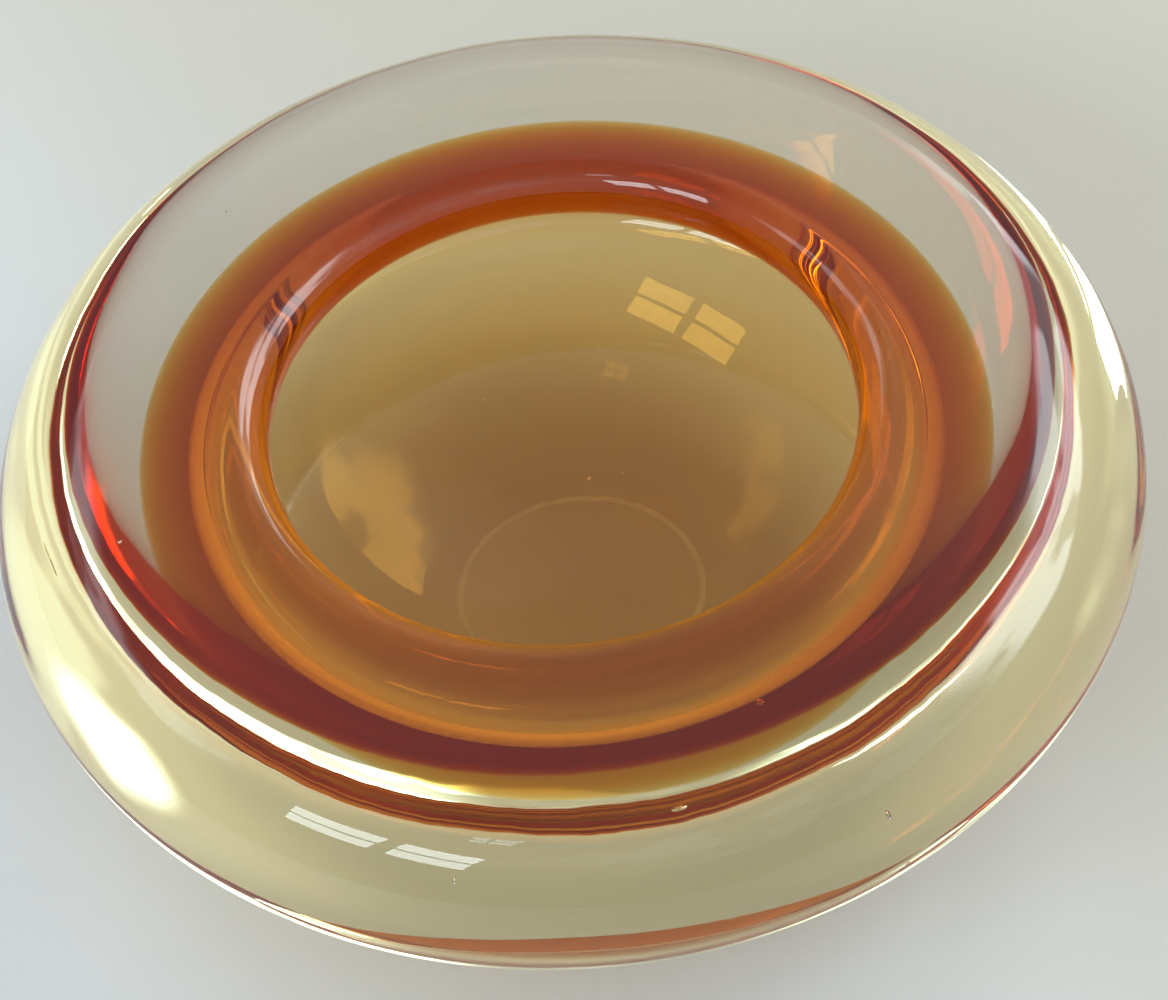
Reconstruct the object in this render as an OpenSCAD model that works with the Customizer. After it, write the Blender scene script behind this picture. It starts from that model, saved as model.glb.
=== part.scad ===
// Cased art glass bowl: a heavy, flattened body of clear glass with a thick base,
// over one amber layer that lines the hollow. Both layers are turned shapes, fused face to face.
// The origin is the centre of the ground resting face, and +Z is up.

/* [Body] */
// Widest diameter of the bowl
body_w = 170; // [141:1:204]
// Height from the resting face to the crown of the lip
body_h = 62.5; // [52:0.5:75]
// Rise of the gently domed top, from the shoulder to the crown of the lip
dome_rise = 0.5; // [0.4:0.1:3]
// Rounding radius of the shoulder, above the widest line
shoulder_r = 17.8; // [14.8:0.1:21.4]
// Rounding radius of the side, below the widest line
side_r = 13; // [10.8:0.1:15.6]
// Diameter of the ground flat that the bowl rests on
base_w = 51.5; // [42.5:0.5:62]

/* [Mouth] */
// Clear width of the mouth at its narrowest
mouth_w = 86; // [71.5:0.5:103.5]
// Rounding radius of the polished lip
lip_r = 5.2; // [4.3:0.1:6.3]

/* [Hollow] */
// Widest diameter of the hollow, under the lip
hollow_w = 111; // [92.5:0.5:133.5]
// Rounding radius of the hollow's side
hollow_side_r = 6; // [5:0.1:7.2]
// Depth of the hollow's floor below its side rounding
floor_sag = 4; // [3:0.1:8]

/* [Amber layer] */
// Thickness of the amber at its widest line
amber_side_t = 7.1; // [5.9:0.1:8.6]
// Rounding radius of the amber's outer side
amber_side_r = 8.2; // [6.8:0.1:9.9]
// Height of the amber's widest line above the hollow's
amber_lift = 0.7; // [0.5:0.1:2]
// Thickness of the amber under the middle of the hollow
amber_floor_t = 4.6; // [3.8:0.1:5.6]

/* [Hidden] */
$fn = 144;

// Longest straight step along an arc, and the largest turn between two steps
arc_step = 3;
arc_turn = 5;
// Largest gap at which two arcs still count as touching
touch_gap = 0.0001;

// Roundings of the two outlines, each as [distance of its centre from the axis, height, radius]
girth_z = body_h - dome_rise - shoulder_r;
shoulder = [body_w / 2 - shoulder_r, girth_z, shoulder_r];
side = [body_w / 2 - side_r, girth_z, side_r];
lip = [mouth_w / 2 + lip_r, body_h - lip_r, lip_r];

// The hollow's side rounding hangs right under the lip's, a short flat apart or, where the
// mouth is wide, rounding against rounding.
hollow_x = hollow_w / 2 - hollow_side_r;
overhang = min(0, hollow_x - lip.x);
hollow_drop = sqrt(pow(lip_r + hollow_side_r, 2) - pow(overhang, 2));
hollow = [hollow_x, lip.y - hollow_drop, hollow_side_r];
floor_z = hollow.y - hollow_side_r - floor_sag;
amber = [hollow_w / 2 + amber_side_t - amber_side_r, hollow.y + amber_lift, amber_side_r];

// Large arcs about the axis that run on from the roundings without a corner
dome = axis_arc(shoulder, lip, -1);
underside = axis_arc(side, [base_w / 2, 0, 0], 1);
floor_arc = axis_arc(hollow, [0, floor_z, 0], 1);
amber_floor = axis_arc(amber, [0, floor_z - amber_floor_t, 0], 1);

// The amber comes to the surface where the dome runs into the lip.
lip_edge_angle = angle_from(dome, lip);
lip_edge = on_arc(lip, lip_edge_angle);
amber_crown = axis_arc(amber, [lip_edge.x, lip_edge.y, 0], -1);

// Point on a rounding or an arc, at an angle from the horizontal
function on_arc(c, angle) = [c.x, c.y] + c[2] * [cos(angle), sin(angle)];

// Angle at which point or centre b lies, seen from centre a
function angle_from(a, b) = atan2(b.y - a.y, b.x - a.x);

// Points along an arc from one angle to another
function arc_points(c, from, to) =
    let (
        length = c[2] * abs(to - from) * PI / 180,
        steps = ceil(max(length / arc_step, abs(to - from) / arc_turn))
    )
    [for (i = [0 : steps]) on_arc(c, from + (to - from) * i / steps)];

// Large arc with its centre on the axis that touches the roundings a and b from outside, as
// [0, height, radius]. way is 1 for a centre above a and -1 for one below. A radius of 0 is a point.
function axis_arc(a, b, way) =
    let (
        s = a[2] - b[2],
        h = b.y - a.y,
        g = s * s + b.x * b.x - a.x * a.x + b.y * b.y - a.y * a.y,
        k2 = 4 * (h * h - s * s),
        k1 = 8 * s * s * b.y - 4 * g * h,
        k0 = g * g - 4 * s * s * (b.x * b.x + b.y * b.y),
        root = sqrt(k1 * k1 - 4 * k2 * k0),
        arcs = [for (z = [(-k1 + root) / (2 * k2), (-k1 - root) / (2 * k2)])
            let (radius = b[2] + norm([b.x, b.y - z]), gap = radius - a[2] - norm([a.x, a.y - z]))
            if (way * (z - a.y) > 0 && abs(gap) < touch_gap) [0, z, radius]]
    )
    arcs[0];

// Outer surface of the bowl, from the middle of the base to the edge of the lip
outer_line = concat(
    [[0, 0]],
    arc_points(underside, angle_from(underside, [base_w / 2, 0]), angle_from(underside, side)),
    arc_points(side, angle_from(underside, side), 0),
    arc_points(shoulder, 0, angle_from(dome, shoulder)),
    arc_points(dome, angle_from(dome, shoulder), lip_edge_angle)
);

// Face between the two layers, from the edge of the lip down to the axis
fused_line = concat(
    arc_points(amber_crown, angle_from(amber_crown, lip_edge), angle_from(amber_crown, amber)),
    arc_points(amber, angle_from(amber_crown, amber), angle_from(amber_floor, amber)),
    arc_points(amber_floor, angle_from(amber_floor, amber), -90)
);

// Lip and hollow, from the edge of the lip round and down to the axis
lip_to_hollow = 360 - atan2(hollow_drop, overhang);
inner_line = concat(
    arc_points(lip, lip_edge_angle, lip_to_hollow),
    arc_points(hollow, lip_to_hollow - 180, angle_from(floor_arc, hollow)),
    arc_points(floor_arc, angle_from(floor_arc, hollow), -90)
);

// An outline without the points that repeat where one arc meets the next
function tidy(points) =
    [for (i = [0 : len(points) - 1])
        if (norm(points[i] - points[(i + 1) % len(points)]) > touch_gap)
            [max(0, points[i].x), points[i].y]];

function reversed(points) = [for (i = [len(points) - 1 : -1 : 0]) points[i]];

module clear_casing() {
    color([0.86, 0.89, 0.78, 0.45])
    rotate_extrude()
    polygon(tidy(concat(outer_line, fused_line)));
}

module amber_cup() {
    color([0.82, 0.42, 0.07])
    rotate_extrude()
    polygon(tidy(concat(inner_line, reversed(fused_line))));
}

clear_casing();
amber_cup();
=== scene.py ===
# %% [markdown]
# # A cased art glass bowl
# The bowl is one heavy lump of clear glass, gathered over a small amber cup and flattened while it was soft.
# Everything about its look comes from light bending through thick glass: the clear rim shows the table,
# the near edge shows the room on the far side, and the amber glows only where the light has a long way
# through it. So the lesson is mostly about true shapes and true glass, and very little about paint.

from math import atan2, ceil, cos, hypot, pi, radians, sin, sqrt

import bmesh
import bpy
from mathutils import Matrix, Vector, noise


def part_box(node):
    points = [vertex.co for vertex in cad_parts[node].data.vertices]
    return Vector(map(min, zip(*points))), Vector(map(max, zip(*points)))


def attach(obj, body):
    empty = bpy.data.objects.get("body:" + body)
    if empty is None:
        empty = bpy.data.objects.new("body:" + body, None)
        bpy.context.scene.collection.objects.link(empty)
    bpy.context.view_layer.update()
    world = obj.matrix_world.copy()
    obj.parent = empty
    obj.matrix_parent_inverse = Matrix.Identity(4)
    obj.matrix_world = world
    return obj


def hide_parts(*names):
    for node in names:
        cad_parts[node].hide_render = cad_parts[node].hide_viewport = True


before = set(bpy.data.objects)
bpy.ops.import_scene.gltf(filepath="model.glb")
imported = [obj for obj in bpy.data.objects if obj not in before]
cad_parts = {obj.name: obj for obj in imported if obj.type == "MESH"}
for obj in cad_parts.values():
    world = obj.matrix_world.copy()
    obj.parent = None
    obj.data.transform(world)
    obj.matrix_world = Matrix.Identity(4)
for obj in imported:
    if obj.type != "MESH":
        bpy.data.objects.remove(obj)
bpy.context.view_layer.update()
body_low, body_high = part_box("clear_casing")
print("the packed bowl measures", [round((b - a) * 1000, 1) for a, b in zip(body_low, body_high)], "mm")

# %% [markdown]
# ## The driving sizes
# A turned bowl is fully described by half of its section. The section here is a chain of arcs, because hot
# glass that is rolled, blocked and polished has no corners: a long shallow arc under the body, a tight one
# round the side, a wider one at the shoulder, a nearly flat dome on top, a round lip and a hollow that is
# wider inside than its mouth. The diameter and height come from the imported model; the roundings are
# written here once, in metres.

# %% Sizes
body_r = body_high[0]
body_h = body_high[2]
dome_rise = 0.0005
shoulder_r = 0.0178
side_r = 0.013
base_r = 0.02575
matt_r = 0.0202
mouth_r = 0.043
lip_r = 0.0052
hollow_r = 0.0555
hollow_side_r = 0.006
floor_sag = 0.004
amber_side_t = 0.0071
amber_side_r = 0.0082
amber_lift = 0.0007
amber_floor_t = 0.0046
clearance = 0.00006
print("body", round(body_r * 2000, 1), "mm wide and", round(body_h * 1000, 1), "mm high")

# %% [markdown]
# ## Arcs that touch
# Two roundings in the section are joined by one large arc whose centre lies on the axis. It could be found
# by eye, with a curve and two handles, but then the join would show in every reflection as a kink. Asking
# for the one arc that touches both roundings gives a join with no corner. A rounding is written as
# (distance of its centre from the axis, height, radius).


# %% Find the large arc that touches two roundings
def axis_arc(a, b, way):
    """The arc about the axis that wraps roundings a and b. way is 1 for a centre above a, -1 for below."""
    s, h = a[2] - b[2], b[1] - a[1]
    g = s * s + b[0] ** 2 - a[0] ** 2 + b[1] ** 2 - a[1] ** 2
    k2, k1 = 4 * (h * h - s * s), 8 * s * s * b[1] - 4 * g * h
    k0 = g * g - 4 * s * s * (b[0] ** 2 + b[1] ** 2)
    root = sqrt(max(0.0, k1 * k1 - 4 * k2 * k0))
    for z in ((-k1 + root) / (2 * k2), (-k1 - root) / (2 * k2)):
        radius = b[2] + hypot(b[0], b[1] - z)
        touches = abs(radius - a[2] - hypot(a[0], a[1] - z)) < 1e-7
        if touches and way * (z - a[1]) > 0:
            return (0.0, z, radius)
    raise ValueError("no large arc touches these two roundings")


def seen_from(a, b):
    """The angle at which the centre of b lies from the centre of a."""
    return atan2(b[1] - a[1], b[0] - a[0])


girth_z = body_h - dome_rise - shoulder_r
shoulder = (body_r - shoulder_r, girth_z, shoulder_r)
side = (body_r - side_r, girth_z, side_r)
lip = (mouth_r + lip_r, body_h - lip_r, lip_r)
hollow_x = hollow_r - hollow_side_r
overhang = min(0.0, hollow_x - lip[0])
drop = sqrt((lip_r + hollow_side_r) ** 2 - overhang ** 2)
hollow = (hollow_x, lip[1] - drop, hollow_side_r)
floor_z = hollow[1] - hollow_side_r - floor_sag
amber_side = (hollow_r + amber_side_t - amber_side_r, hollow[1] + amber_lift, amber_side_r)

dome = axis_arc(shoulder, lip, -1)
underside = axis_arc(side, (base_r, 0, 0), 1)
floor_arc = axis_arc(hollow, (0.00001, floor_z, 0), 1)
amber_floor = axis_arc(amber_side, (0.00001, floor_z - amber_floor_t, 0), 1)
lip_start = seen_from(dome, lip)
lip_end = 2 * pi - atan2(drop, overhang)
print("widest line at", round(girth_z * 1000, 1), "mm, hollow floor at", round(floor_z * 1000, 1), "mm")

# %% [markdown]
# ## Drawing an outline with Spin
# The same tool that turns an outline into a bowl can draw the outline. Spinning one vertex round the centre
# of a rounding leaves a row of short edges behind it, which is that rounding. Each arc starts from the
# vertex where the last one stopped, so the outline can't come apart. Short steps matter in glass, where
# light is bent by the surface's slope and long facets would show as bands.


# %% Draw arcs one after another
def longest_step(radius, turn):
    """How many steps an arc takes: under a millimetre long and under 3 degrees each."""
    return max(2, ceil(max(abs(turn) * radius / 0.001, abs(turn) / radians(3))))


def add_arc(bm, start, centre, turn):
    """Sweeps the vertex start round a centre in the XZ plane and returns the last vertex."""
    steps = longest_step(hypot(start.co.x - centre[0], start.co.z - centre[1]), turn)
    swept = bmesh.ops.spin(bm, geom=[start], cent=(centre[0], 0, centre[1]), axis=(0, -1, 0),
                           angle=turn, steps=steps, use_merge=False)
    return next(g for g in swept["geom_last"] if isinstance(g, bmesh.types.BMVert))


def draw_outline(bm, start, arcs):
    """Draws a chain of (rounding, angle it starts at, angle it stops at) from a start point."""
    last = bm.verts.new((start[0], 0, start[1]))
    for centre, begin, stop in arcs:
        first = Vector((centre[0] + centre[2] * cos(begin), 0, centre[1] + centre[2] * sin(begin)))
        if (first - last.co).length > 2e-6:
            corner = bm.verts.new(first)
            bm.edges.new((last, corner))
            last = corner
        last = add_arc(bm, last, centre, stop - begin)
    return last


# %% [markdown]
# ## Turning the outline
# A full spin about the upright axis turns the outline into a solid of revolution. Merging the doubles
# closes the seam and the two poles, and only then are the normals made to point outwards. The ground edge
# of the base stays sharp, as the wheel left it. With 300 steps round, the longest facets are 1.8 mm.


# %% Turn an outline into a closed body
def turned(name, start, arcs, around=300):
    bm = bmesh.new()
    last = draw_outline(bm, start, arcs)
    last.co.x = 0
    bmesh.ops.spin(bm, geom=bm.verts[:] + bm.edges[:], cent=(0, 0, 0), axis=(0, 0, 1),
                   angle=2 * pi, steps=around, use_merge=True)
    bmesh.ops.remove_doubles(bm, verts=bm.verts, dist=2e-6)
    bmesh.ops.recalc_face_normals(bm, faces=bm.faces)
    for face in bm.faces:
        face.smooth = True
    open_edges = sum(len(edge.link_faces) != 2 for edge in bm.edges)
    print(name, "has", len(bm.faces), "faces,", open_edges, "open edges and holds",
          round(bm.calc_volume() * 1e6, 1), "cm3")
    return bm


def as_piece(bm, name):
    mesh = bpy.data.meshes.new(name)
    bm.to_mesh(mesh)
    bm.free()
    piece = bpy.data.objects.new(name, mesh)
    bpy.context.scene.collection.objects.link(piece)
    return piece


# %% [markdown]
# ## The maker's hand
# A perfect turned shape looks machine made. This bowl was shaped hot, so the shoulder wanders by a fraction
# of a millimetre, and that is what makes the edge of each reflection waver. A Displace modifier with a
# noise texture could do it, but the clear glass and the amber inside it have to move together. One function
# of position, used on both, keeps them together. It adds a slow, a middle and a quick wave, strongest at
# the shoulder, weak on the polished dome and nothing at all on the flat base.


# %% Let the shape wander a little
def ease(value, low, high):
    t = min(1.0, max(0.0, (value - low) / (high - low)))
    return t * t * (3 - 2 * t)


def hand_worked(bm):
    largest = 0.0
    for vert in bm.verts:
        co = vert.co
        out = hypot(co.x, co.y)
        shoulder_share = ease(out, 0.064, 0.076) * ease(co.z, 0.03, 0.05)
        lip_share = ease(out, 0.038, 0.046) * ease(0.060 - out, 0.0, 0.006) * ease(co.z, 0.05, 0.058)
        slow = noise.noise(Vector((co.x * 32, co.y * 32, 3.7)))
        middle = noise.noise(Vector((co.x * 70, co.y * 70, 5.2)))
        quick = noise.noise(Vector((co.x * 110, co.y * 110, 8.1)))
        lift = (0.00036 * slow + 0.00016 * middle + 0.00003 * quick) * shoulder_share
        lift += 0.00010 * slow * lip_share
        waves = [noise.noise(Vector((co.x * 14, co.y * 14, co.z * 14 + apart))) for apart in (3.1, 7.7, 12.9)]
        sway = Vector(waves) * (0.0002 * ease(co.z, 0.004, 0.03))
        move = Vector((sway.x, sway.y, lift + sway.z * 0.3))
        vert.co = co + move
        largest = max(largest, move.length)
    print("moved by up to", round(largest * 1000, 2), "mm")


# %% [markdown]
# ## The clear glass
# Light only bends where glass meets air. At the face where the two layers are fused it goes straight on, so
# giving each layer its own glass surface there would make a false mirror between them. The way used for
# drinks in a tumbler works here too: the clear piece carries the whole outside of the bowl, hollow and lip
# included, and does all the bending, and the amber lies just inside it and only colours the light.

# %% Turn the clear glass
skin = turned("clear glass", (0, 0), [
    (underside, seen_from(underside, (base_r, 0)), seen_from(underside, side)),
    (side, seen_from(underside, side), 0),
    (shoulder, 0, seen_from(dome, shoulder)),
    (dome, seen_from(dome, shoulder), lip_start),
    (lip, lip_start, lip_end),
    (hollow, lip_end - pi, seen_from(floor_arc, hollow)),
    (floor_arc, seen_from(floor_arc, hollow), -pi / 2),
])
for edge in skin.edges:
    if all(abs(v.co.z) < 1e-6 and abs(hypot(v.co.x, v.co.y) - base_r) < 1e-5 for v in edge.verts):
        edge.smooth = False
hand_worked(skin)

# %% [markdown]
# ## Seeds
# A few tiny bubbles, which glassmakers call seeds, were trapped when the clear gather went over the amber.
# A bubble is a hole in the glass, so it is part of the same mesh: a small round shell whose faces look into
# the hole. Light leaves the glass at that shell and comes back in on the other side, with no second
# material.

# %% Trap a few seeds in the clear glass
seeds = [(0.0515, 0.0216, 0.0400, 0.00035), (0.0030, 0.0148, 0.0180, 0.00030),
         (0.0082, 0.0112, 0.0262, 0.00022), (-0.0660, -0.0090, 0.0430, 0.00025),
         (-0.0480, 0.0520, 0.0470, 0.00020), (0.0350, -0.0520, 0.0300, 0.00028),
         (-0.0200, -0.0610, 0.0350, 0.00022), (0.0600, -0.0330, 0.0410, 0.00018),
         (-0.0120, 0.0310, 0.0220, 0.00020)]
for x, y, z, r in seeds:
    shell = bmesh.ops.create_icosphere(skin, subdivisions=3, radius=r, matrix=Matrix.Translation((x, y, z)))
    faces = list({f for v in shell["verts"] for f in v.link_faces})
    for face in faces:
        face.smooth = True
    bmesh.ops.reverse_faces(skin, faces=faces)
clear_glass = as_piece(skin, "clear_glass_casing")
print(len(seeds), "seeds, the largest", round(max(s[3] for s in seeds) * 2000, 2), "mm across")

# %% [markdown]
# ## The amber cup
# The amber was gathered first, so it is the inner layer: 4.6 mm thick under the hollow, 7 mm at its
# widest, and pulled up to a thin edge that comes to the surface just outside the lip. Its inner face
# follows the hollow a few hundredths of a millimetre inside the glass, so that the two never share a face.

# %% Turn the amber cup
amber_lip = (lip[0], lip[1], lip_r - clearance)
amber_hollow = (hollow[0], hollow[1], hollow_side_r + clearance)
amber_inner_floor = (0.0, floor_arc[1], floor_arc[2] + clearance)
lip_edge = (amber_lip[0] + amber_lip[2] * cos(lip_start), amber_lip[1] + amber_lip[2] * sin(lip_start), 0)
amber_crown = axis_arc(amber_side, lip_edge, -1)
cup = turned("amber cup", (0, amber_floor[1] - amber_floor[2]), [
    (amber_floor, -pi / 2, seen_from(amber_floor, amber_side)),
    (amber_side, seen_from(amber_floor, amber_side), seen_from(amber_crown, amber_side)),
    (amber_crown, seen_from(amber_crown, amber_side), seen_from(amber_crown, lip_edge)),
    (amber_lip, lip_start, lip_end),
    (amber_hollow, lip_end - pi, seen_from(floor_arc, hollow)),
    (amber_inner_floor, seen_from(floor_arc, hollow), -pi / 2),
])
hand_worked(cup)
amber_cup = as_piece(cup, "amber_glass_cup")

# %% [markdown]
# ## Clear glass as a material
# The colour of thick glass isn't on its surface. A faint straw tint is taken out of the light as it travels,
# a little more for every centimetre, so the short ways through the top look white and the long way through
# the near edge looks like pale straw. Volume Absorption does just that. The surface itself is polished. Years
# of use have left it faintly uneven, which a weak Bump shows, and a small round in the middle of the base is
# matt from the wheel, with a paler edge: there the surface is a little rough and lets less light through.


# %% Small helpers for building node materials
class Tree:
    """A node tree with short ways to add a node and to wire it."""

    def __init__(self, owner):
        owner.use_nodes = True
        self.nodes, self.links = owner.node_tree.nodes, owner.node_tree.links

    def add(self, kind, values=None, **settings):
        node = self.nodes.new("ShaderNode" + kind)
        for key, value in settings.items():
            setattr(node, key, value)
        for socket, value in (values or {}).items():
            if hasattr(value, "links"):
                self.links.new(value, node.inputs[socket])
            else:
                node.inputs[socket].default_value = value
        return node

    def maths(self, operation, a, b=0.0, c=None):
        values = {0: a, 1: b}
        if c is not None:
            values[2] = c
        return self.add("Math", values, operation=operation).outputs[0]

    def product(self, first, *others):
        for other in others:
            first = self.maths("MULTIPLY", first, other)
        return first

    def scaled(self, value, factor, offset):
        return self.maths("MULTIPLY_ADD", value, factor, offset)

    def length(self, a, b):
        """How long a line with the two upright sides a and b is."""
        return self.maths("SQRT", self.maths("ADD", self.product(a, a), self.product(b, b)))

    def blend(self, share, first, second):
        """A colour that goes from the first to the second as share goes from 0 to 1."""
        first, second = (c if hasattr(c, "links") else (*c, 1) for c in (first, second))
        return self.add("Mix", {"Factor": share, 6: first, 7: second}, data_type="RGBA").outputs[2]

    def ramp(self, value, low, high, to_low=0.0, to_high=1.0):
        return self.add("MapRange", {"Value": value, "From Min": low, "From Max": high, "To Min": to_low,
                                     "To Max": to_high}, interpolation_type="SMOOTHSTEP").outputs["Result"]


def glass(name, bend, tint, strength):
    """A see-through material that bends light by bend and takes tint out of it along the way."""
    material = bpy.data.materials.new(name)
    tree = Tree(material)
    surface = tree.nodes["Principled BSDF"]
    surface.inputs["Base Color"].default_value = (1, 1, 1, 1)
    surface.inputs["Transmission Weight"].default_value = 1
    surface.inputs["Roughness"].default_value = 0
    surface.inputs["IOR"].default_value = bend
    inside = tree.add("VolumeAbsorption", {"Color": (*tint, 1), "Density": strength})
    tree.links.new(inside.outputs[0], tree.nodes["Material Output"].inputs["Volume"])
    return material, tree, surface


# %% Clear glass, with a matt round under the base
clear, tree, surface = glass("clear straw glass", 1.5, (0.83, 0.79, 0.48), 9.0)
place = tree.add("TexCoord").outputs["Object"]
split = tree.add("SeparateXYZ", {"Vector": place})
from_axis = tree.length(split.outputs[0], split.outputs[1])
on_flat = tree.maths("LESS_THAN", split.outputs[2], 0.00008)
on_matt = tree.product(on_flat, tree.ramp(from_axis, matt_r - 0.0004, matt_r, 1.0, 0.0))
on_edge = tree.product(on_matt, tree.ramp(from_axis, matt_r - 0.0016, matt_r - 0.0010))
tree.links.new(tree.product(on_matt, 0.2), surface.inputs["Roughness"])
let_through = tree.scaled(on_edge, -0.22, tree.scaled(on_matt, -0.10, 1.0))
tree.links.new(let_through, surface.inputs["Transmission Weight"])
wear = tree.add("TexNoise", {"Vector": place, "Scale": 55, "Detail": 3}).outputs["Fac"]
uneven = tree.add("Bump", {"Height": wear, "Strength": 0.12, "Distance": 0.0002})
tree.links.new(uneven.outputs[0], surface.inputs["Normal"])
clear_glass.data.materials.append(clear)

# %% [markdown]
# ## Amber as a material
# The amber piece lies inside the clear one, so at its faces light has nothing to bend it: its index is 1.
# All it does is take blue and some green out of the light. That makes it yellow where it is thin, orange
# where it is thicker and deep red-orange along the lip, where one looks through it lengthwise.

# %% Amber glass
amber, tree, surface = glass("amber glass", 1.0, (0.93, 0.695, 0.08), 365.0)
amber_cup.data.materials.append(amber)

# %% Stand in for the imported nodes
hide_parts("clear_casing")
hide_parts("amber_cup")
for piece in (clear_glass, amber_cup):
    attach(piece, "root")

# %% [markdown]
# ## Table
# A pale table with painted light on it: its colour is brighter and cooler at the near left and darker and
# warmer towards the far right, a painted fall-off of light and shade across the table, with a few faint
# blotches. It is a large plane a tenth of a millimetre under the foot, because two faces in the same place
# would flicker.

# %% Table
board = bmesh.new()
bmesh.ops.create_grid(board, x_segments=1, y_segments=1, size=1.6, matrix=Matrix.Translation((0, 0, -0.0001)))
table = as_piece(board, "table")
paint = bpy.data.materials.new("pale table")
tree = Tree(paint)
surface = tree.nodes["Principled BSDF"]
place = tree.add("TexCoord").outputs["Object"]
split = tree.add("SeparateXYZ", {"Vector": place})
# Painted light: a brighter, cooler near left and a darker, warmer far right stand in for how light and shade
# fall across the table.
slant = tree.scaled(split.outputs[0], 1.2, split.outputs[1])
painted_light_falloff = tree.blend(tree.ramp(slant, -0.20, 0.14), (0.63, 0.69, 0.75), (0.455, 0.425, 0.37))
blotch = tree.add("TexNoise", {"Vector": place, "Scale": 9, "Detail": 5}).outputs["Fac"]
painted_falloff_and_blotches = tree.blend(tree.ramp(blotch, 0.35, 0.65, 0.0, 0.06), painted_light_falloff, (0.30, 0.28, 0.25))
tree.links.new(painted_falloff_and_blotches, surface.inputs["Base Color"])
surface.inputs["Roughness"].default_value = 0.75
table.data.materials.append(paint)

# %% [markdown]
# ## Soft light from all round
# Glass shows its surroundings, so the light is designed as a room and not as a lamp. A warm, pale sky fills
# it, a little brighter to the right and behind the camera. Two cooler stretches of window stand left and
# right, the right one taller and brighter, and a noise breaks their outlines up. They stop short of the far
# side, so that the flat top of the bowl mirrors something dim and stays clear, and fade behind the camera,
# where a window with four panes gives the sharp patch on the near left of the shoulder.

# %% Room light
room = bpy.data.worlds.new("soft room")
bpy.context.scene.world = room
tree = Tree(room)
way = tree.add("TexCoord").outputs["Generated"]
way = tree.add("VectorMath", {0: way}, operation="NORMALIZE").outputs["Vector"]
split = tree.add("SeparateXYZ", {"Vector": way})
x, y, z = split.outputs
ahead = tree.maths("DIVIDE", y, tree.maths("MAXIMUM", tree.length(x, y), 0.001))
on_right = tree.ramp(x, -0.1, 0.1)
above_sill = tree.maths("SUBTRACT", z, tree.scaled(on_right, -0.15, 0.56))
above_head = tree.maths("SUBTRACT", z, tree.scaled(on_right, 0.06, 0.73))
band = tree.product(tree.ramp(above_sill, 0.0, 0.05), tree.ramp(above_head, -0.03, 0.03, 1.0, 0.0))
sides = tree.product(tree.ramp(ahead, 0.90, 0.97, 1.0, 0.05), tree.ramp(ahead, -0.25, 0.05, 0.08, 1.0))
patches = tree.add("TexNoise", {"Vector": way, "Scale": 5, "Detail": 1}).outputs["Fac"]
windows = tree.product(band, sides, tree.ramp(patches, 0.42, 0.55, 0.2, 1.0), tree.scaled(on_right, 4.0, 3.0))


def pane(azimuth, height, half_wide, half_high, strength):
    """A window with four panes, straight ahead of the bowl at an azimuth (0 is the far side) and a height."""
    azimuth, height = radians(azimuth), radians(height)
    towards = Vector((sin(azimuth) * cos(height), cos(azimuth) * cos(height), sin(height)))
    across = Vector((cos(azimuth), -sin(azimuth), 0))
    along = [tree.add("VectorMath", {0: way, 1: axis}, operation="DOT_PRODUCT").outputs["Value"]
             for axis in (towards, across, across.cross(towards))]
    inside = tree.maths("GREATER_THAN", along[0], 0.0)
    for value, half in zip(along[1:], (half_wide, half_high)):
        off = tree.maths("ABSOLUTE", value)
        within_frame = tree.maths("LESS_THAN", off, half)
        beside_bar = tree.maths("GREATER_THAN", off, half * 0.09)
        inside = tree.product(inside, within_frame, beside_bar)
    return tree.product(inside, strength)


panes = tree.maths("ADD", pane(-137, 38, 0.24, 0.11, 10.0), pane(-152, 60, 0.05, 0.04, 4.0))
sky = tree.product(tree.ramp(z, -0.1, 0.8, 0.50, 0.80), tree.ramp(z, 0.82, 0.97, 1.0, 0.65),
                   tree.scaled(y, -0.30, 1.0), tree.scaled(x, 0.22, 1.0))
bright = tree.maths("ADD", windows, panes)
back = tree.nodes["Background"]
hue = tree.blend(tree.ramp(bright, 0.0, 1.0), (1.0, 0.985, 0.945), (0.84, 0.96, 1.0))
tree.links.new(hue, back.inputs["Color"])
tree.links.new(tree.maths("ADD", bright, sky), back.inputs["Strength"])

# %% [markdown]
# ## Camera
# A long lens a good arm's length away looks down steeply, turned a little to one side, so that the bowl
# fills the picture and its ovals lean.

# %% Camera
view = bpy.data.cameras.new("camera")
view.sensor_width = 36
view.lens = 143.26
view.clip_start = 0.01
camera = bpy.data.objects.new("camera", view)
bpy.context.scene.collection.objects.link(camera)
bpy.context.scene.camera = camera
stand = Vector((0, -0.442894, 0.572075))
aim = Vector((0.001808, 0.007031, 0.030))
turn = (aim - stand).to_track_quat("-Z", "Y").to_matrix().to_4x4() @ Matrix.Rotation(radians(-5.99), 4, "Z")
camera.matrix_world = Matrix.Translation(stand) @ turn
print("camera is", round((aim - stand).length, 3), "m from what it looks at")

# %% [markdown]
# ## Long light paths
# A ray can bounce many times inside thick glass before it gets out. With Blender's usual limit of 12 it
# would be cut off and the glass would look sooty, so the limits are raised.

# %% Light paths
paths = bpy.context.scene.cycles
paths.max_bounces = 32
paths.transmission_bounces = 32
paths.glossy_bounces = 16
paths.diffuse_bounces = 4
paths.transparent_max_bounces = 16
paths.use_denoising = True
bpy.context.scene.view_settings.view_transform = "Standard"
